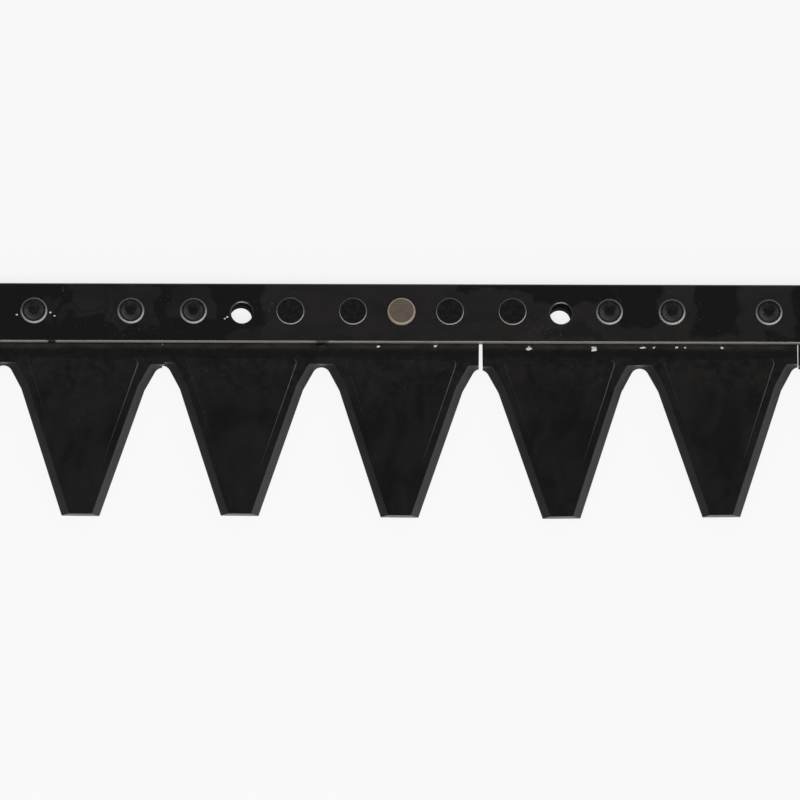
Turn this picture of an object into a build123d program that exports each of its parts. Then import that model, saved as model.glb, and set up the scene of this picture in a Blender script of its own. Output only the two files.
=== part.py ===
from build123d import *
import os
from math import cos, radians, sin

os.makedirs("parts", exist_ok=True)

# Knife of a double-knife cutter bar, lying flat on its sliding side.
# X runs along the knife, +Y points to its back, the teeth point to -Y and +Z is the bevelled side.
# The origin is under the middle of the knife, on the plane that it slides on.
# All sizes are in millimetres and all angles in degrees.

# Teeth, and the gaps between them, which open fast down to their shoulders and slower from there on
tooth_pitch = 76.2
tip_reach = 84.8
tip_width = 18.0
valley_reach = 10.6
valley_radius = 4.3
shoulder_drop = 11.5
shoulder_gap = 17.4
plate_thickness = 4.0
plate_tail = 12.4

# Ground edges of the teeth
edge_land = 0.6
bevel_angle = 45.0
root_lip = 0.6

# Raised field on each tooth
field_inset = 6.5
field_start = 6.6
field_end = 64.0
field_height = 0.5
field_corner = 3.0

# Knife back
back_width = 29.0
back_thickness = 4.5
back_rounding = 1.2
back_edge_break = 0.3
rivet_line = 15.1

# Rivets and their holes
rivet_spacing = 46.3
shank_diameter = 8.0
foot_diameter = 11.5
dished_seat_diameter = 12.9
flat_seat_diameter = 13.4
rivet_play = 0.05
dished_end_rise = 0.9
flat_end_rise = 0.5
dish_rim = 0.7
dish_floor_diameter = 4.0
dish_depth = 1.8

# Drive fastening in the middle of the knife
drive_line = 14.2
drive_hole_diameter = 10.4
drive_hole_break = 0.5
pin_line = 14.6
pin_diameter = 13.4
pin_rise = 2.6
pin_edge_break = 0.7
pin_collar_diameter = 13.9
pin_neck_diameter = 10.0
pin_foot_diameter = 12.5

# Section plates, from left to right: how many teeth each has, how far it has slid along the knife and
# towards its back, how far it has turned, and how much is ground off its left and right ends
section_names = ("section_plate_a", "section_plate_b", "section_plate_c", "section_plate_d")
section_tooth_counts = (2, 2, 2, 1)
section_slides = ((0.85, 0.60), (0.16, 0.05), (-0.85, -0.20), (-1.10, 0.00))
section_turn_angles = (-0.71, -0.49, 0.68, 0.35)
section_end_cuts = ((0.30, 0.45), (0.30, 1.07), (1.24, 0.72), (0.00, 0.30))

# How far the two drive holes of the plates lie from those of the knife back, to the right and towards the
# back, for the left hole and the right one
drive_hole_slides = ((-0.6, -0.5), (-0.8, -1.3))

# Spare length of the cutting tools
margin = 2.0

# Lengths that follow from the sizes above
tooth_count = sum(section_tooth_counts)
middle_tooth = (tooth_count - 1) / 2
back_length = tooth_count * tooth_pitch
top_of_back = plate_thickness + back_thickness
tooth_length = tip_reach - valley_reach
bevel_height = plate_thickness - edge_land


def tip_depth(section):
    """How far the lowest tip corner of a seated plate lies beyond the knife back."""
    turn = radians(section_turn_angles[section])
    reach = (rivet_line + tip_reach) * cos(turn)
    corner = (section_tooth_counts[section] - 1) * tooth_pitch / 2 + tip_width / 2
    return reach + corner * abs(sin(turn)) - rivet_line - section_slides[section][1]


# Places across the knife
overall_depth = back_width + max(tip_depth(section) for section in range(len(section_names)))
back_y = overall_depth / 2
front_y = back_y - back_width
rivet_y = front_y + rivet_line
drive_y = front_y + drive_line
pin_y = front_y + pin_line


def tooth_x(number):
    """Middle of a tooth's place along the knife back."""
    return (number - middle_tooth) * tooth_pitch


def rivet_places(first, count):
    """Places of the rivets of a run of teeth, from left to right."""
    sides = (-rivet_spacing / 2, rivet_spacing / 2)
    return [(tooth_x(n) + side, rivet_y) for n in range(first, first + count) for side in sides]


def first_tooth(section):
    """Number of a section plate's leftmost tooth, counted from 0 at the left end of the knife."""
    return sum(section_tooth_counts[:section])


def seat_plane(section):
    """Plane under a seated section plate, with its origin on the rivet line in the middle of the plate."""
    slide_x, slide_y = section_slides[section]
    turn = radians(section_turn_angles[section])
    centre = tooth_x(first_tooth(section) + (section_tooth_counts[section] - 1) / 2)
    return Plane(
        origin=(centre + slide_x, rivet_y + slide_y, 0),
        x_dir=(cos(turn), sin(turn), 0),
        z_dir=(0, 0, 1),
    )


# The gap between two teeth, with its round bottom at the origin and its mouth towards -Y
shoulder_half = shoulder_gap / 2
side_run = tooth_length - shoulder_drop
side_slope = (tooth_pitch / 2 - tip_width / 2 - shoulder_half) / side_run
mouth_drop = tooth_length + margin
mouth_half = tooth_pitch / 2 - tip_width / 2 + margin * side_slope


def gap_profile(plane):
    """Profile of the gap between two teeth on a plane, at the sharp edge."""
    with BuildSketch(plane) as profile:
        with BuildLine():
            CenterArc((0, -valley_radius), valley_radius, 0, 180)
            Line((-shoulder_half, -shoulder_drop), (shoulder_half, -shoulder_drop))
            Line((-mouth_half, -mouth_drop), (mouth_half, -mouth_drop))
        make_hull()
    return profile.sketch


# Cutting tools for one gap: one straight through, and one that flares from the sharp edge up to the
# bevels and stops at the plate's root
with BuildPart() as gap_tool:
    add(gap_profile(Plane.XY.offset(-margin)))
    extrude(amount=plate_thickness + 2 * margin)
with BuildPart() as bevel_tool:
    add(gap_profile(Plane.XY.offset(edge_land)))
    extrude(amount=bevel_height, taper=-bevel_angle)
    split(bisect_by=Plane.XZ.offset(-root_lip), keep=Keep.TOP)

# Raised field of one tooth, with its origin at the middle of the knife back's front edge. Its flanks
# are parallel to the tooth's sides, and its top slopes down to nothing towards the tip.
field_top_half = tip_width / 2 + (tip_reach - field_start) * side_slope - field_inset
field_run_half = tip_width / 2 + (tip_reach - field_end - margin) * side_slope - field_inset
field_slope = Plane(
    origin=(0, -field_end, plate_thickness),
    x_dir=(1, 0, 0),
    z_dir=(0, -field_height, field_end - field_start),
)
with BuildPart() as tooth_field:
    with BuildSketch(Plane.XY.offset(plate_thickness - field_height)) as field_profile:
        with BuildLine():
            Polyline(
                (-field_top_half, -field_start),
                (-field_run_half, -field_end - margin),
                (field_run_half, -field_end - margin),
                (field_top_half, -field_start),
                close=True,
            )
        make_face()
        fillet(field_profile.vertices().group_by(Axis.Y)[-1], field_corner)
    extrude(amount=3 * field_height, taper=bevel_angle)
    split(bisect_by=field_slope, keep=Keep.BOTTOM)


def cut_foot_holes(places, shank, foot):
    """Cut holes that are countersunk on the sliding side, for fasteners with a flush foot."""
    with Locations(*[Location((x, y, 0), (180, 0, 0)) for x, y in places]):
        CounterSinkHole(shank / 2, foot / 2, depth=plate_thickness, counter_sink_angle=90)


def make_section(section):
    """One section plate in its place: a hardened plate with one or two bevelled teeth."""
    first = first_tooth(section)
    count = section_tooth_counts[section]
    left_cut, right_cut = section_end_cuts[section]
    width = count * tooth_pitch - left_cut - right_cut
    depth = plate_tail + rivet_line + tip_reach
    teeth = [(n - (count - 1) / 2) * tooth_pitch for n in range(count)]
    gaps = [(n - count / 2) * tooth_pitch for n in range(count + 1)]
    seat = seat_plane(section)
    with BuildPart() as plate:
        with BuildSketch(seat):
            with Locations(((left_cut - right_cut) / 2, plate_tail - depth / 2)):
                Rectangle(width, depth)
        extrude(amount=plate_thickness)
        for x in teeth:
            add(seat * Location((x, -rivet_line, 0)) * tooth_field.part)
        for x in gaps:
            bottom = seat * Location((x, -rivet_line - valley_reach, 0))
            add(bottom * gap_tool.part, mode=Mode.SUBTRACT)
            add(bottom * bevel_tool.part, mode=Mode.SUBTRACT)
        cut_foot_holes(rivet_places(first, count), shank_diameter, foot_diameter)
        for tooth, (x, y), (slide_x, slide_y) in zip(drive_hole_teeth, drive_holes, drive_hole_slides):
            if first <= tooth < first + count:
                with Locations((x + slide_x, y + slide_y, plate_thickness)):
                    Hole(drive_hole_diameter / 2, depth=plate_thickness)
        if first <= middle_tooth < first + count:
            cut_foot_holes([pin_place], pin_neck_diameter, pin_foot_diameter)
    return plate


def cut_rivet_seats(places, seat_diameter):
    """Cut the rivet holes of the knife back, widened at the top for the spread ends of the rivets."""
    with Locations(*[(x, y, top_of_back) for x, y in places]):
        CounterSinkHole(
            shank_diameter / 2,
            seat_diameter / 2,
            depth=back_thickness,
            counter_sink_angle=90,
        )


def make_rivet(place, dished):
    """One closed rivet: flush foot, shank, and an end that fills its seat and stands proud with a flank."""
    x, y = place
    seat_diameter = dished_seat_diameter if dished else flat_seat_diameter
    end_rise = dished_end_rise if dished else flat_end_rise
    end_height = top_of_back + end_rise
    foot = foot_diameter / 2 - rivet_play
    shank = shank_diameter / 2 - rivet_play
    seat = seat_diameter / 2 - rivet_play
    end = seat - end_rise
    outline = [
        (0, rivet_play),
        (foot - rivet_play, rivet_play),
        (shank, foot - shank),
        (shank, top_of_back - seat + shank),
        (seat, top_of_back),
        (end, end_height),
    ]
    if dished:
        outline.append((end - dish_rim, end_height))
        outline.append((dish_floor_diameter / 2, end_height - dish_depth))
        outline.append((0, end_height - dish_depth))
    else:
        outline.append((0, end_height))
    with BuildPart() as rivet:
        with BuildSketch(Plane(origin=(x, y, 0), x_dir=(1, 0, 0), z_dir=(0, -1, 0))):
            with BuildLine():
                Polyline(*outline, close=True)
            make_face()
        revolve(axis=Axis((x, y, 0), (0, 0, 1)))
    return rivet


# Places of the fasteners
rivets = rivet_places(0, tooth_count)
drive_hole_teeth = (middle_tooth - 1, middle_tooth + 1)
drive_holes = [(tooth_x(tooth), drive_y) for tooth in drive_hole_teeth]
pin_place = (0, pin_y)
flat_rivets = [place for place in rivets if abs(place[0]) < tooth_pitch]
dished_rivets = [place for place in rivets if abs(place[0]) > tooth_pitch]

# Knife back: a flat bar on top of the section plates, with its upper back edge rounded
with BuildPart() as knife_back:
    with BuildSketch(Plane.XY.offset(plate_thickness)):
        with Locations((0, front_y + back_width / 2)):
            Rectangle(back_length, back_width)
    extrude(amount=back_thickness)
    long_edges = knife_back.edges().filter_by(Axis.X)
    top_edges = long_edges.group_by(Axis.Z)[-1]
    fillet(top_edges.sort_by(Axis.Y)[-1], back_rounding)
    chamfer(top_edges.sort_by(Axis.Y)[0], back_edge_break)
    cut_rivet_seats(dished_rivets, dished_seat_diameter)
    cut_rivet_seats(flat_rivets, flat_seat_diameter)
    with Locations((*pin_place, top_of_back)):
        Hole(pin_collar_diameter / 2 + rivet_play, depth=back_thickness)
    with Locations(*[(x, y, top_of_back) for x, y in drive_holes]):
        CounterSinkHole(
            drive_hole_diameter / 2,
            drive_hole_diameter / 2 + drive_hole_break,
            depth=back_thickness,
            counter_sink_angle=90,
        )
knife_back.part.label = "knife_back"
export_step(knife_back.part, "parts/knife_back.step")

# Section plates
for number, name in enumerate(section_names):
    section_plate = make_section(number)
    section_plate.part.label = name
    export_step(section_plate.part, f"parts/{name}.step")

# Rivets, counted from the left end
for number, place in enumerate(rivets, start=1):
    rivet = make_rivet(place, place in dished_rivets)
    rivet.part.label = f"rivet_{number:02d}"
    export_step(rivet.part, f"parts/rivet_{number:02d}.step")

# Drive pin: a round stud that stands proud between the two drive holes. Its collar fills the hole of
# the knife back and rests on the section plate, and its thinner neck ends in a flush foot.
with BuildPart() as drive_pin:
    with BuildSketch(Plane(origin=(*pin_place, 0), x_dir=(1, 0, 0), z_dir=(0, -1, 0))):
        with BuildLine():
            Polyline(
                (0, rivet_play),
                (pin_foot_diameter / 2 - 2 * rivet_play, rivet_play),
                (pin_neck_diameter / 2 - rivet_play, (pin_foot_diameter - pin_neck_diameter) / 2),
                (pin_neck_diameter / 2 - rivet_play, plate_thickness),
                (pin_collar_diameter / 2, plate_thickness),
                (pin_collar_diameter / 2, top_of_back),
                (pin_diameter / 2, top_of_back),
                (pin_diameter / 2, top_of_back + pin_rise),
                (0, top_of_back + pin_rise),
                close=True,
            )
        make_face()
    revolve(axis=Axis((*pin_place, 0), (0, 0, 1)))
    chamfer(drive_pin.edges().group_by(Axis.Z)[-1], pin_edge_break)
drive_pin.part.label = "drive_pin"
export_step(drive_pin.part, "parts/drive_pin.step")
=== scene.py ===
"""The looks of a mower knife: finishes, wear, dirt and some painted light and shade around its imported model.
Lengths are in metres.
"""
import math
import random

import bmesh
import bpy
from mathutils import Matrix, Vector


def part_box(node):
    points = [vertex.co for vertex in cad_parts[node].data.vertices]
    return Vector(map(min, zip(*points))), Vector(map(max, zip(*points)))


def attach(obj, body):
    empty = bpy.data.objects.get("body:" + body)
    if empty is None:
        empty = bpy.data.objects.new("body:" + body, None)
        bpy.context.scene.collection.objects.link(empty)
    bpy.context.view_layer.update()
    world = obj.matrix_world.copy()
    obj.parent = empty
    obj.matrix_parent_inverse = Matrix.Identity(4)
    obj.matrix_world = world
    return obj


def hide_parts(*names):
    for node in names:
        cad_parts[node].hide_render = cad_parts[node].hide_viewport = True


MM = 0.001

# Camera: it looks down at the knife from the teeth's side, from far away and with a long lens
VIEW_ELEVATION = math.radians(73.5)
VIEW_DISTANCE = 11.0
VIEW_WIDTH = 0.38195
VIEW_ROLL = 0.0026
VIEW_CENTRE = Vector((-0.6, 1.7, 0.0)) * MM
SENSOR_MM = 36.0

# Light: bright round the horizon, less so on the left, and dark overhead
HORIZON_LIGHT = 1.05
LEFT_SHADE = 0.95
OVERHEAD_LIGHT = 0.10
FLOOR_SIZE = 40.0
FLOOR_DROP = 0.05 * MM
LAMP_DISTANCE = 3.0

# Edge rounding of the pieces, and the angle from which an edge is rounded
BACK_EDGE_ROUNDING = 0.1 * MM
PLATE_EDGE_ROUNDING = 0.12 * MM
RIVET_EDGE_ROUNDING = 0.22 * MM
DISH_ROUNDING = 1.0 * MM
PIN_EDGE_ROUNDING = 0.3 * MM
SHARP_ANGLE = math.radians(28)

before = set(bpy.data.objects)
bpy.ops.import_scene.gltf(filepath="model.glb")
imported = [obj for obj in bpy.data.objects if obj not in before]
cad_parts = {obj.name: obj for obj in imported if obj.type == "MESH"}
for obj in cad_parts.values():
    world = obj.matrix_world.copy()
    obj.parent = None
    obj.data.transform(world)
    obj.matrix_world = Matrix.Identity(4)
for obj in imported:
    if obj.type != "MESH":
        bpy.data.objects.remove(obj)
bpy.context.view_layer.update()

# Places and levels, read from the frame
back_low, back_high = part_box("knife_back")
PLATE_TOP = back_low.z
BACK_TOP = back_high.z
FRONT_Y = back_low.y
BACK_Y = back_high.y
PIN_LOW, PIN_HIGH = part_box("drive_pin")
PIN_X = (PIN_LOW.x + PIN_HIGH.x) / 2
PIN_Y = (PIN_LOW.y + PIN_HIGH.y) / 2
PLATES = ["section_plate_a", "section_plate_b", "section_plate_c", "section_plate_d"]
RIVETS = sorted(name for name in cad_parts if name.startswith("rivet_"))


def node_middle(name):
    """Middle of a node's box."""
    low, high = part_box(name)
    return (low + high) / 2


# Node trees

class Tree:
    """A node tree, with short calls for the nodes that the looks share."""

    def __init__(self, tree):
        self.tree = tree

    def new(self, kind, **settings):
        """Add a node."""
        node = self.tree.nodes.new(kind)
        for key, value in settings.items():
            setattr(node, key, value)
        return node

    def put(self, socket, value):
        """Link an output to a socket, or set a plain value on it."""
        if isinstance(value, bpy.types.NodeSocket):
            self.tree.links.new(value, socket)
        else:
            socket.default_value = value

    def split(self, vector):
        """The three parts of a vector."""
        node = self.new("ShaderNodeSeparateXYZ")
        self.put(node.inputs[0], vector)
        return node.outputs[0], node.outputs[1], node.outputs[2]

    def math(self, operation, *values):
        """One sum on numbers."""
        node = self.new("ShaderNodeMath", operation=operation)
        for socket, value in zip(node.inputs, values):
            self.put(socket, value)
        return node.outputs[0]

    def times(self, *values):
        """Product of several numbers."""
        result = values[0]
        for value in values[1:]:
            result = self.math("MULTIPLY", result, value)
        return result

    def most(self, *values):
        """Largest of several numbers."""
        result = values[0]
        for value in values[1:]:
            result = self.math("MAXIMUM", result, value)
        return result

    def rest(self, value):
        """What a share leaves over."""
        return self.math("SUBTRACT", 1.0, value)

    def rise(self, value, low, high, from_value=0.0, to_value=1.0):
        """Smooth step from one value at low to another at high."""
        node = self.new("ShaderNodeMapRange", interpolation_type="SMOOTHSTEP")
        for socket, number in zip(node.inputs, (value, low, high, from_value, to_value)):
            self.put(socket, number)
        return node.outputs[0]

    def band(self, value, low, high, soft):
        """1 between low and high and 0 outside, with soft ends."""
        up = self.rise(value, low - soft, low + soft)
        down = self.rise(value, high - soft, high + soft, 1.0, 0.0)
        return self.math("MULTIPLY", up, down)

    def mix(self, share, first, second):
        """Colour between two colours."""
        node = self.new("ShaderNodeMix", data_type="RGBA")
        self.put(node.inputs["Factor"], share)
        self.put(node.inputs["A"], first)
        self.put(node.inputs["B"], second)
        return node.outputs["Result"]

    def between(self, share, first, second):
        """Number between two numbers."""
        node = self.new("ShaderNodeMix", data_type="FLOAT")
        for key, value in (("Factor", share), ("A", first), ("B", second)):
            self.put(node.inputs[key], value)
        return node.outputs["Result"]


class Finish(Tree):
    """A material with a principled surface, and its patterns in the object's own millimetres."""

    def __init__(self, name):
        self.material = bpy.data.materials.new(name)
        self.material.use_nodes = True
        super().__init__(self.material.node_tree)
        self.surface = self.tree.nodes["Principled BSDF"]
        self.place = self.new("ShaderNodeTexCoord").outputs["Object"]
        self.x, self.y, self.z = self.split(self.place)
        true_normal = self.new("ShaderNodeNewGeometry").outputs["True Normal"]
        self.normal_x, self.normal_y, self.normal_z = self.split(true_normal)

    def noise(self, size, detail=3.0, roughness=0.5, stretch=(1, 1, 1), shift=(0, 0, 0), warp=0.0):
        """Noise with grains of a real size, longer along an axis by its stretch."""
        mapping = self.new("ShaderNodeMapping", vector_type="POINT")
        self.put(mapping.inputs["Vector"], self.place)
        self.put(mapping.inputs["Location"], shift)
        self.put(mapping.inputs["Scale"], tuple(1 / value for value in stretch))
        node = self.new("ShaderNodeTexNoise")
        self.put(node.inputs["Vector"], mapping.outputs[0])
        self.put(node.inputs["Scale"], 1 / size)
        self.put(node.inputs["Detail"], detail)
        self.put(node.inputs["Roughness"], roughness)
        self.put(node.inputs["Distortion"], warp)
        return node.outputs["Fac"]

    def flecks(self, size, share, shift=(0, 0, 0)):
        """Irregular specks in loose clusters. A share near 0 leaves few of them."""
        grains = self.noise(size, 2, 0.6, shift=shift, warp=0.4)
        clusters = self.noise(14 * MM, 2, 0.6, shift=(shift[1], shift[0], 0.1))
        level = self.rise(clusters, 0.42, 0.66, 0.80 - share * 0.2, 0.72 - share)
        over = self.math("SUBTRACT", grains, level)
        return self.rise(over, 0.0, 0.035)

    def zone(self, x, y, area, soft=1.0):
        """1 inside an area of the plan in millimetres (left, right, front, back), with soft borders."""
        left, right, front, back = (value * MM for value in area)
        return self.times(self.band(x, left, right, soft * MM), self.band(y, front, back, soft * MM))

    def bump(self, height, depth, normal=None):
        """Normal of a surface with a height pattern of a real depth."""
        node = self.new("ShaderNodeBump")
        self.put(node.inputs["Strength"], 1.0)
        self.put(node.inputs["Distance"], depth)
        self.put(node.inputs["Height"], height)
        if normal is not None:
            self.put(node.inputs["Normal"], normal)
        return node.outputs["Normal"]

    def finish(self, **values):
        """Put values or outputs on the surface's sockets, named with _ for spaces."""
        for key, value in values.items():
            self.put(self.surface.inputs[key.replace("_", " ")], value)
        return self.material


# Finishes

BLACK_PAINT = (0.0062, 0.0056, 0.0058, 1.0)
# Lighter paint of the hazy patches: a dull film, and partly painted sheen
HAZE_AND_SHEEN_PAINT = (0.0150, 0.0138, 0.0133, 1.0)
WORN_STEEL = (0.20, 0.19, 0.18, 1.0)
BARE_STEEL = (0.34, 0.33, 0.31, 1.0)
# Near-black of the hole walls: their black paint, darkened further as painted shade in the holes
BORE_SHADE_BLACK = (0.004, 0.004, 0.005, 1.0)
PALE_DUST = (0.22, 0.205, 0.185, 1.0)

# Where the paint of the knife back is hazy, with partly painted sheen, and the dark patches inside those areas:
# left, right, front and back border in millimetres, and strength
HAZY = [
    (-66.4, 187.0, 20.0, 70.0, 1.0),
    (-174.0, -165.5, 38.0, 50.0, 0.8),
    (-156.5, -142.0, 45.0, 59.0, 0.75),
    (-163.0, -142.0, 40.5, 44.5, 0.7),
    (-141.5, -116.5, 36.0, 57.5, 0.85),
    (-111.0, -89.0, 40.0, 55.5, 0.65),
    (-82.0, -66.0, 27.0, 33.0, 0.5),
]
DARK = [
    (28.5, 74.0, 53.4, 62.0, 1.0),
    (65.0, 104.0, 46.5, 62.0, 1.0),
    (104.0, 123.0, 36.0, 62.0, 1.0),
    (139.0, 162.7, 31.5, 62.0, 1.0),
    (172.0, 190.0, 24.0, 33.5, 0.8),
    (68.0, 96.0, 29.5, 36.0, 0.6),
    (-30.0, 20.0, 24.0, 31.0, 0.35),
]


def back_paint():
    """Glossy black paint with hazy patches, whose lighter colour is partly painted sheen, scratches and dust,
    worn to steel in front, with near-black painted shade in the holes that also falls on the end faces.
    """
    f = Finish("back_paint")
    wave = f.noise(11 * MM, 1.5, 0.4)
    ripple = f.noise(10 * MM, 1.5, 0.4, shift=(0.4, 0.2, 0.0))
    x = f.math("ADD", f.x, f.rise(wave, 0.2, 0.8, -3.2 * MM, 3.2 * MM))
    y = f.math("ADD", f.y, f.rise(ripple, 0.2, 0.8, -3.5 * MM, 3.5 * MM))
    haze_and_sheen = f.most(*[f.times(f.zone(x, y, area[:4], 1.1), area[4]) for area in HAZY])
    for area in DARK:
        haze_and_sheen = f.times(haze_and_sheen, f.rest(f.times(f.zone(x, y, area[:4], 1.3), area[4])))
    cloud = f.noise(12 * MM, 4, 0.6, (2.5, 1, 1), (0.1, 0.3, 0.0), 0.8)
    haze_and_sheen = f.times(haze_and_sheen, f.rise(cloud, 0.25, 0.7, 0.5, 1.2))
    smears = f.rise(f.noise(3.5 * MM, 5, 0.65, (6, 1, 1), (0.0, 0.2, 0.0), 1.4), 0.50, 0.78, 0.0, 0.35)
    haze_and_sheen = f.math("ADD", haze_and_sheen, smears)
    scratches = f.rise(f.noise(1.1 * MM, 3, 0.6, (9, 0.3, 1), warp=0.8), 0.66, 0.80)
    scratches = f.times(scratches, f.rise(f.noise(20 * MM, 2, 0.5, shift=(0.7, 0.1, 0.0)), 0.45, 0.65))
    dust = f.flecks(0.75 * MM, 0.06)
    in_front = f.rise(f.normal_y, -0.72, -0.55, 1.0, 0.0)
    breaks = f.most(
        f.band(f.x, -168.9 * MM, -165.0 * MM, 0.5 * MM),
        f.times(f.band(f.x, -41.0 * MM, -35.0 * MM, 1.2 * MM), 0.8),
    )
    chips = f.rise(f.noise(3 * MM, 4, 0.6, (5, 1, 1)), 0.26, 0.36, 0.35, 1.0)
    bare = f.times(in_front, chips, f.rest(breaks), f.rise(f.z, PLATE_TOP + 1.5 * MM, PLATE_TOP + 2.1 * MM))
    near_holes = f.most(
        f.band(f.x, -83.0 * MM, -69.5 * MM, 0.3 * MM),
        f.band(f.x, 69.5 * MM, 83.0 * MM, 0.3 * MM),
    )
    rim = f.times(f.band(f.normal_z, 0.4, 0.9, 0.04), near_holes, f.rise(f.z, BACK_TOP - MM, BACK_TOP - 0.6 * MM))
    rim = f.times(rim, f.band(f.y, FRONT_Y + 3 * MM, BACK_Y - 3 * MM, 0.3 * MM))
    inside = f.band(f.y, FRONT_Y + 2 * MM, BACK_Y - 2 * MM, 0.3 * MM)
    # The hole walls, and the end faces too, turn near-black and matte: painted shade over the black paint
    bore_shade = f.times(f.band(f.normal_z, -0.3, 0.3, 0.05), inside)
    rubbed = f.rise(f.normal_z, -0.9, -0.8, 0.5, 0.0)
    # The hazy patches turn the paint lighter: partly a dull film, partly painted sheen
    colour = f.mix(haze_and_sheen, BLACK_PAINT, HAZE_AND_SHEEN_PAINT)
    colour = f.mix(f.times(scratches, 0.16), colour, PALE_DUST)
    colour = f.mix(f.times(dust, 0.35), colour, PALE_DUST)
    colour = f.mix(f.times(rim, 0.5), colour, (0.06, 0.057, 0.053, 1.0))
    steel = f.mix(f.noise(0.8 * MM, 3, 0.6, (6, 1, 1)), WORN_STEEL, BARE_STEEL)
    colour = f.mix(f.most(bare, rubbed), colour, steel)
    colour = f.mix(bore_shade, colour, BORE_SHADE_BLACK)
    rough = f.between(f.math("MINIMUM", haze_and_sheen, 1.0), 0.24, 0.36)
    rough = f.between(f.most(bare, rubbed), rough, 0.45)
    rough = f.between(bore_shade, rough, 0.85)
    height = f.math("ADD", f.times(f.noise(2.5 * MM, 3, 0.5), 0.5), f.times(haze_and_sheen, 0.12))
    return f.finish(
        Base_Color=colour,
        Roughness=rough,
        Metallic=f.times(f.most(bare, rubbed), 0.3),
        Specular_IOR_Level=f.between(bore_shade, 0.5, 0.05),
        Normal=f.bump(height, 0.02 * MM),
    )


def tooth_paint():
    """Satin black paint with ground bevels, browner near the root and rubbed bare on the sliding side, with
    painted shade in front of the back, on the bevels facing left and in the holes, and painted highlights on the
    raised field's edges facing right.
    """
    f = Finish("tooth_paint")
    cloud = f.noise(16 * MM, 5, 0.6, (1, 1.6, 1), warp=0.6)
    mottle = f.noise(3.2 * MM, 4, 0.6, shift=(0.2, 0.5, 0.0))
    grain = f.noise(0.6 * MM, 3, 0.6)
    sloped = f.band(f.normal_z, 0.55, 0.85, 0.04)
    raised = f.rise(f.z, PLATE_TOP + 0.01 * MM, PLATE_TOP + 0.05 * MM)
    field_edge = f.times(sloped, raised)
    bevel = f.times(sloped, f.rest(raised))
    depth = f.math("SUBTRACT", FRONT_Y, f.y)
    root = f.rise(depth, 6 * MM, 40 * MM, 1.0, 0.0)
    strip = f.times(f.band(depth, -1 * MM, 2.1 * MM, 0.9 * MM), f.rest(sloped))
    strip = f.times(strip, f.rise(f.noise(4 * MM, 4, 0.6, (3, 1, 1)), 0.34, 0.66, 0.25, 1.0))
    # Painted shade: a darker band on the plates just in front of the knife back
    shade_before_back = f.band(depth, 3.2 * MM, 6.4 * MM, 0.6 * MM)
    at_tip = f.rise(f.normal_y, -0.9, -0.7, 1.0, 0.0)
    streaks = f.noise(0.30 * MM, 3, 0.6, (12, 1, 1))
    patches = f.rise(f.noise(9 * MM, 4, 0.6, (1, 2, 1), (0.5, 0.0, 0.0)), 0.35, 0.65)
    scuffs = f.rise(f.noise(0.9 * MM, 3, 0.6, (0.35, 7, 1), warp=0.6), 0.68, 0.82)
    scuffs = f.times(scuffs, f.rise(f.noise(17 * MM, 2, 0.5, shift=(0.2, 0.9, 0.0)), 0.45, 0.65))
    dust = f.flecks(0.8 * MM, 0.04, (0.3, 0.6, 0.0))
    colour = f.mix(f.rise(cloud, 0.32, 0.68), (0.0042, 0.0040, 0.0042, 1.0), (0.0098, 0.0092, 0.0090, 1.0))
    colour = f.mix(f.times(root, f.rise(mottle, 0.35, 0.7), 0.55), colour, (0.021, 0.0185, 0.0165, 1.0))
    colour = f.mix(f.times(shade_before_back, 0.6), colour, (0.0045, 0.0043, 0.0045, 1.0))
    colour = f.mix(f.times(strip, 0.6), colour, (0.042, 0.040, 0.034, 1.0))
    ground = f.mix(f.rise(streaks, 0.3, 0.72), (0.008, 0.0075, 0.0075, 1.0), (0.040, 0.037, 0.034, 1.0))
    # Painted shade and highlight on the ground bevels: those facing left get less of the lighter ground colour,
    # those facing right more, by the surface's own direction
    lit_side = f.rise(f.normal_x, -0.4, 0.4, 0.25, 1.0)
    colour = f.mix(f.times(bevel, lit_side, f.rise(patches, 0.0, 1.0, 0.45, 0.9)), colour, ground)
    # Painted highlight: the flanks of the raised field that face right turn lighter
    lit_edge = f.times(field_edge, f.rise(f.normal_x, 0.1, 0.4), f.rise(mottle, 0.3, 0.6, 0.35, 1.0))
    colour = f.mix(lit_edge, colour, (0.055, 0.051, 0.047, 1.0))
    colour = f.mix(f.times(scuffs, 0.12), colour, PALE_DUST)
    colour = f.mix(f.times(dust, 0.3), colour, PALE_DUST)
    colour = f.mix(f.times(at_tip, f.rise(mottle, 0.3, 0.6, 0.3, 0.9)), colour, (0.045, 0.042, 0.039, 1.0))
    inside = f.times(f.band(f.normal_z, -0.3, 0.3, 0.05), f.band(f.y, FRONT_Y + 4 * MM, BACK_Y - 5 * MM, MM))
    # The hole walls turn near-black and matte: painted shade over the black paint
    bore_shade = f.times(inside, f.band(f.x, -240 * MM, 240 * MM, MM))
    under = f.rise(f.normal_z, -0.9, -0.8, 1.0, 0.0)
    rubbed = f.times(under, f.rise(f.noise(11 * MM, 5, 0.6, (3, 1, 1)), 0.38, 0.56, 0.25, 1.0))
    steel = f.mix(f.noise(0.5 * MM, 3, 0.6, (20, 1, 1)), (0.13, 0.125, 0.12, 1.0), (0.26, 0.25, 0.24, 1.0))
    colour = f.mix(rubbed, colour, steel)
    colour = f.mix(bore_shade, colour, BORE_SHADE_BLACK)
    rough = f.rise(cloud, 0.3, 0.7, 0.27, 0.36)
    rough = f.between(bevel, rough, 0.30)
    rough = f.between(rubbed, rough, 0.38)
    rough = f.between(bore_shade, rough, 0.85)
    height = f.math("ADD", f.times(grain, 0.2), f.times(bevel, streaks, 0.5))
    return f.finish(
        Base_Color=colour,
        Roughness=rough,
        Metallic=f.times(rubbed, 0.6),
        Specular_IOR_Level=f.between(bore_shade, 0.5, 0.05),
        Normal=f.bump(height, 0.025 * MM),
    )


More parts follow.
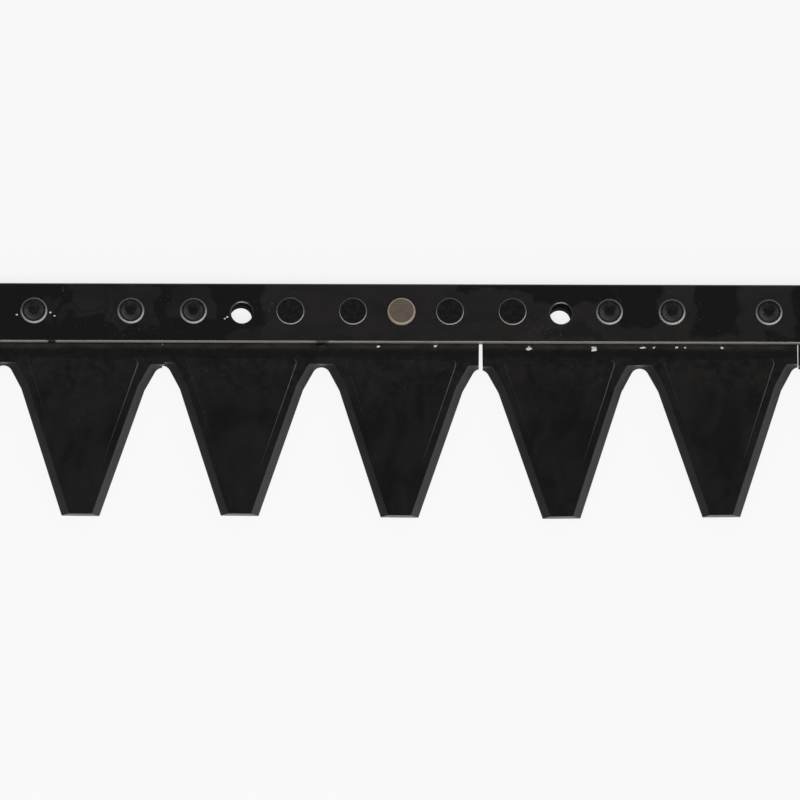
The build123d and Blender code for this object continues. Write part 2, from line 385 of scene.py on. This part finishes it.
def rivet_paint():
    """Black paint on the rivets, rubbed through on their raised rims, most of all towards the teeth, where the
    extra lightness is a painted highlight.
    """
    f = Finish("rivet_paint")
    worn = f.noise(2.2 * MM, 4, 0.6)
    upper = f.rise(f.z, BACK_TOP - 0.1 * MM, BACK_TOP + 0.1 * MM)
    flank = f.times(upper, f.rise(f.normal_z, 0.76, 0.82, 1.0, 0.0))
    # The rims turn lighter towards the teeth by their own direction: partly wear, partly painted highlight
    front = f.rise(f.normal_y, -0.35, 0.25, 1.0, 0.28)
    rubbed = f.times(flank, front, f.rise(f.noise(1.4 * MM, 3, 0.6), 0.30, 0.50, 0.6, 1.0))
    foot = f.rise(f.normal_z, -0.9, -0.8, 0.8, 0.0)
    bare = f.most(rubbed, foot)
    colour = f.mix(f.rise(worn, 0.42, 0.68), BLACK_PAINT, (0.0125, 0.0115, 0.0112, 1.0))
    colour = f.mix(f.times(f.flecks(0.7 * MM, 0.05, (0.9, 0.1, 0.0)), 0.3), colour, PALE_DUST)
    colour = f.mix(f.times(flank, 0.5), colour, (0.030, 0.028, 0.026, 1.0))
    colour = f.mix(bare, colour, (0.46, 0.44, 0.41, 1.0))
    return f.finish(
        Base_Color=colour,
        Roughness=f.between(bare, f.rise(worn, 0.3, 0.7, 0.22, 0.32), 0.36),
        Metallic=f.times(bare, 0.7),
        Normal=f.bump(f.noise(1.2 * MM, 3, 0.5), 0.01 * MM),
    )


def pin_metal():
    """Dull beige metal with fine speckles and a polished rim, painted black where it meets the back."""
    f = Finish("pin_metal")
    speckle = f.noise(0.45 * MM, 3, 0.65)
    stain = f.noise(3 * MM, 4, 0.6, warp=0.6)
    colour = f.mix(f.rise(speckle, 0.35, 0.65), (0.120, 0.092, 0.070, 1.0), (0.215, 0.172, 0.133, 1.0))
    colour = f.mix(f.rise(stain, 0.55, 0.75, 0.0, 0.45), colour, (0.10, 0.08, 0.062, 1.0))
    rim = f.band(f.normal_z, 0.1, 0.97, 0.02)
    colour = f.mix(rim, colour, (0.38, 0.33, 0.26, 1.0))
    painted = f.rise(f.z, BACK_TOP + 0.15 * MM, BACK_TOP + 0.3 * MM, 1.0, 0.0)
    colour = f.mix(painted, colour, BLACK_PAINT)
    return f.finish(
        Base_Color=colour,
        Metallic=f.times(f.rest(painted), 0.35),
        Roughness=f.rise(speckle, 0.3, 0.7, 0.40, 0.55),
        Normal=f.bump(speckle, 0.03 * MM),
    )


# Pieces

def softened(node, roundings):
    """A copy of a CAD node which stands for it, with the sharp edges between two heights rounded.

    Each rounding has the lower and the upper height, the radius and the number of segments.
    """
    mesh = bmesh.new()
    mesh.from_mesh(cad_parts[node].data)
    bmesh.ops.remove_doubles(mesh, verts=mesh.verts, dist=0.002 * MM)
    bmesh.ops.dissolve_limit(
        mesh,
        angle_limit=math.radians(0.5),
        verts=mesh.verts,
        edges=mesh.edges,
        delimit=set(),
    )
    for low, high, radius, segments in roundings:
        sharp = [
            e for e in mesh.edges
            if len(e.link_faces) == 2
            and e.calc_face_angle() > SHARP_ANGLE
            and all(low <= v.co.z <= high for v in e.verts)
        ]
        bmesh.ops.bevel(
            mesh,
            geom=sharp,
            offset=radius,
            offset_type="OFFSET",
            segments=segments,
            profile=0.5,
            affect="EDGES",
            clamp_overlap=True,
        )
    bmesh.ops.triangulate(mesh, faces=[f for f in mesh.faces if len(f.verts) > 4])
    for face in mesh.faces:
        face.smooth = True
    data = bpy.data.meshes.new(f"{node}_dressed")
    mesh.to_mesh(data)
    mesh.free()
    piece = bpy.data.objects.new(f"{node}_dressed", data)
    bpy.context.scene.collection.objects.link(piece)
    data.set_sharp_from_angle(angle=SHARP_ANGLE)
    weighted = piece.modifiers.new("even_normals", "WEIGHTED_NORMAL")
    weighted.keep_sharp = True
    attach(piece, "root")
    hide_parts(node)
    return piece


def dress(piece, material):
    """Give a piece its finish, as its one material."""
    piece.data.materials.clear()
    piece.data.materials.append(material)


back_finish = back_paint()
tooth_finish = tooth_paint()
rivet_finish = rivet_paint()
pin_finish = pin_metal()
dress(softened("knife_back", [(0, 1, BACK_EDGE_ROUNDING, 2)]), back_finish)
for name in PLATES:
    dress(softened(name, [(0, 1, PLATE_EDGE_ROUNDING, 2)]), tooth_finish)
for name in RIVETS:
    edges = [
        (BACK_TOP - 1.4 * MM, BACK_TOP - 0.3 * MM, DISH_ROUNDING, 5),
        (BACK_TOP + 0.3 * MM, 1, RIVET_EDGE_ROUNDING, 3),
    ]
    dress(softened(name, edges), rivet_finish)
dress(softened("drive_pin", [(BACK_TOP + MM, 1, PIN_EDGE_ROUNDING, 3)]), pin_finish)


# Dirt and paint left on the knife

def on_photo(across, down, height):
    """Place on the object under a pixel of the photograph's 800, at a height above the floor."""
    x = (across - 401.3) / 2.0945
    y = 28.28 + (346.62 - 0.595 * height / MM - down) / 2.0097
    return Vector((x * MM, y * MM, height))


def add_lump(mesh, draw, middle, half_width, half_depth, half_height):
    """Add a closed, uneven lump to a mesh."""
    made = bmesh.ops.create_icosphere(mesh, subdivisions=2, radius=1.0)
    turn = draw.uniform(0, math.tau)
    waves = [(draw.uniform(0.08, 0.22), draw.uniform(0, math.tau)) for _ in range(3)]
    for vertex in made["verts"]:
        around = math.atan2(vertex.co.y, vertex.co.x) + turn
        swell = 1 + sum(size * math.sin((n + 2) * around + start) for n, (size, start) in enumerate(waves))
        x, y, z = vertex.co.x * swell, vertex.co.y * swell, vertex.co.z
        vertex.co = middle + Vector((x * half_width, y * half_depth, z * half_height))


def lumps(name, seed, places, material):
    """One piece of several lumps. Each place has its pixel, its size in pixels and its two heights."""
    draw = random.Random(seed)
    mesh = bmesh.new()
    for across, down, width, depth, level, height in places:
        half = Vector((width / 2.0945, depth / 2.0097, 0)) * MM / 2
        add_lump(mesh, draw, on_photo(across, down, level), half.x, half.y, height)
    for face in mesh.faces:
        face.smooth = True
    data = bpy.data.meshes.new(name)
    mesh.to_mesh(data)
    mesh.free()
    piece = bpy.data.objects.new(name, data)
    bpy.context.scene.collection.objects.link(piece)
    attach(piece, "root")
    dress(piece, material)


def fleck_white():
    """Chalky off-white of the specks of dried dirt."""
    f = Finish("fleck_white")
    tone = f.noise(0.5 * MM, 2, 0.5)
    return f.finish(
        Base_Color=f.mix(f.rise(tone, 0.3, 0.7), (0.50, 0.48, 0.45, 1.0), (0.78, 0.76, 0.73, 1.0)),
        Roughness=f.rise(tone, 0.3, 0.7, 0.7, 0.9),
    )


def clot_black():
    """Thick glossy black of paint that ran together."""
    f = Finish("clot_black")
    tone = f.noise(0.8 * MM, 3, 0.5)
    return f.finish(
        Base_Color=f.mix(tone, (0.0022, 0.0020, 0.0022, 1.0), (0.0050, 0.0046, 0.0046, 1.0)),
        Roughness=f.rise(tone, 0.3, 0.7, 0.30, 0.45),
    )


def fill_seam(left_plate, right_plate, material):
    """Paint that closes the narrow joint between two plates, in front of the knife back."""
    _, left_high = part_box(left_plate)
    right_low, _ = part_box(right_plate)
    middle = (left_high.x + right_low.x) / 2
    mesh = bmesh.new()
    made = bmesh.ops.create_cube(mesh, size=1.0)
    size = Vector((1.6 * MM, 9.4 * MM, 2.8 * MM))
    centre = Vector((middle, FRONT_Y - 5.3 * MM, PLATE_TOP / 2))
    for vertex in made["verts"]:
        vertex.co = centre + Vector(a * b for a, b in zip(vertex.co, size))
    data = bpy.data.meshes.new("seam_paint")
    mesh.to_mesh(data)
    mesh.free()
    piece = bpy.data.objects.new("seam_paint", data)
    bpy.context.scene.collection.objects.link(piece)
    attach(piece, "root")
    dress(piece, material)


ON_PLATE = PLATE_TOP
ON_BACK = BACK_TOP
white_places = [
    (378.3, 346.4, 4.0, 2.0, ON_PLATE, 0.25 * MM),
    (435.2, 345.8, 4.0, 2.4, ON_PLATE, 0.25 * MM),
    (528.9, 348.0, 6.0, 4.2, ON_PLATE, 0.40 * MM),
    (594.0, 348.2, 6.8, 5.0, ON_PLATE, 0.50 * MM),
    (642.8, 346.9, 5.4, 2.4, ON_PLATE, 0.25 * MM),
    (654.0, 346.7, 2.8, 1.6, ON_PLATE, 0.20 * MM),
    (676.8, 346.6, 3.4, 2.0, ON_PLATE, 0.20 * MM),
    (685.0, 346.8, 2.6, 1.5, ON_PLATE, 0.20 * MM),
    (722.0, 346.9, 3.8, 2.0, ON_PLATE, 0.20 * MM),
    (16.5, 315.5, 2.2, 1.4, ON_BACK, 0.15 * MM),
    (50.0, 313.2, 2.4, 1.8, ON_BACK, 0.15 * MM),
    (54.2, 316.6, 2.0, 1.4, ON_BACK, 0.15 * MM),
    (224.6, 319.0, 2.0, 1.4, ON_BACK, 0.15 * MM),
    (227.2, 317.4, 2.2, 1.8, ON_BACK, 0.15 * MM),
]
clot = clot_black()
lumps("pale_specks", 3, white_places, fleck_white())
lumps("paint_clot", 5, [(321.6, 345.4, 11.0, 6.0, ON_PLATE, 1.2 * MM)], clot)
fill_seam("section_plate_a", "section_plate_b", clot)


# Stage

def make_floor():
    """A plain white floor that shows the object's soft shadow."""
    mesh = bpy.data.meshes.new("floor")
    half = FLOOR_SIZE / 2
    corners = [(-half, -half), (half, -half), (half, half), (-half, half)]
    mesh.from_pydata([(x, y, -FLOOR_DROP) for x, y in corners], [], [(0, 1, 2, 3)])
    floor = bpy.data.objects.new("floor", mesh)
    bpy.context.scene.collection.objects.link(floor)
    f = Finish("floor_white")
    f.finish(Base_Color=(0.8, 0.8, 0.8, 1.0), Roughness=0.9)
    rays = f.new("ShaderNodeLightPath")
    seen = f.most(
        rays.outputs["Is Camera Ray"],
        rays.outputs["Is Glossy Ray"],
        rays.outputs["Is Transmission Ray"],
    )
    glow = f.new("ShaderNodeEmission")
    f.put(glow.inputs["Color"], (1.0, 1.0, 1.0, 1.0))
    both = f.new("ShaderNodeMixShader")
    f.put(both.inputs[0], f.times(seen, 0.82))
    f.put(both.inputs[1], f.surface.outputs[0])
    f.put(both.inputs[2], glow.outputs[0])
    f.put(f.tree.nodes["Material Output"].inputs["Surface"], both.outputs[0])
    mesh.materials.append(f.material)


def make_world():
    """Soft surroundings: white round the horizon, dimmer low on the left, and dark overhead."""
    world = bpy.data.worlds.new("surroundings")
    bpy.context.scene.world = world
    world.use_nodes = True
    t = Tree(world.node_tree)
    x, _, z = t.split(t.new("ShaderNodeTexCoord").outputs["Generated"])
    shade = t.times(t.rise(x, -0.70, 0.30, 1.0, 0.0), t.rise(z, 0.20, 0.40, 1.0, 0.0), LEFT_SHADE)
    glow = t.math("SUBTRACT", HORIZON_LIGHT, shade)
    sky = world.node_tree.nodes["Background"].inputs
    t.put(sky["Strength"], t.between(t.rise(z, 0.40, 0.64, 1.0, 0.0), OVERHEAD_LIGHT, glow))
    t.put(sky["Color"], (1.0, 1.0, 1.0, 1.0))


def make_lamp(name, azimuth, elevation, width, height, power):
    """A soft lamp that points at the object. Azimuth 0 is in front of the teeth, 90 on the right."""
    lamp = bpy.data.lights.new(name, "AREA")
    lamp.shape = "RECTANGLE"
    lamp.size = width
    lamp.size_y = height
    lamp.energy = power
    holder = bpy.data.objects.new(name, lamp)
    bpy.context.scene.collection.objects.link(holder)
    holder.visible_glossy = False
    turn, rise = math.radians(azimuth), math.radians(elevation)
    way = Vector((math.sin(turn) * math.cos(rise), -math.cos(turn) * math.cos(rise), math.sin(rise)))
    holder.location = way * LAMP_DISTANCE
    holder.rotation_euler = way.to_track_quat("Z", "Y").to_euler()


def make_camera():
    """The camera of the photograph's view."""
    data = bpy.data.cameras.new("camera")
    data.sensor_width = SENSOR_MM
    data.lens = SENSOR_MM * VIEW_DISTANCE / VIEW_WIDTH
    data.clip_start = 0.1
    data.clip_end = 100.0
    camera = bpy.data.objects.new("camera", data)
    bpy.context.scene.collection.objects.link(camera)
    back = Vector((0, -math.cos(VIEW_ELEVATION), math.sin(VIEW_ELEVATION)))
    turn = back.to_track_quat("Z", "Y").to_matrix().to_4x4() @ Matrix.Rotation(VIEW_ROLL, 4, "Z")
    camera.matrix_world = Matrix.Translation(VIEW_CENTRE + back * VIEW_DISTANCE) @ turn
    bpy.context.scene.camera = camera


make_floor()
make_world()
make_lamp("low_lamp", 18, 14, 4.4, 0.8, 22)
make_lamp("high_lamp", -10, 62, 1.4, 1.4, 55)
make_camera()
bpy.context.scene.view_settings.view_transform = "Standard"
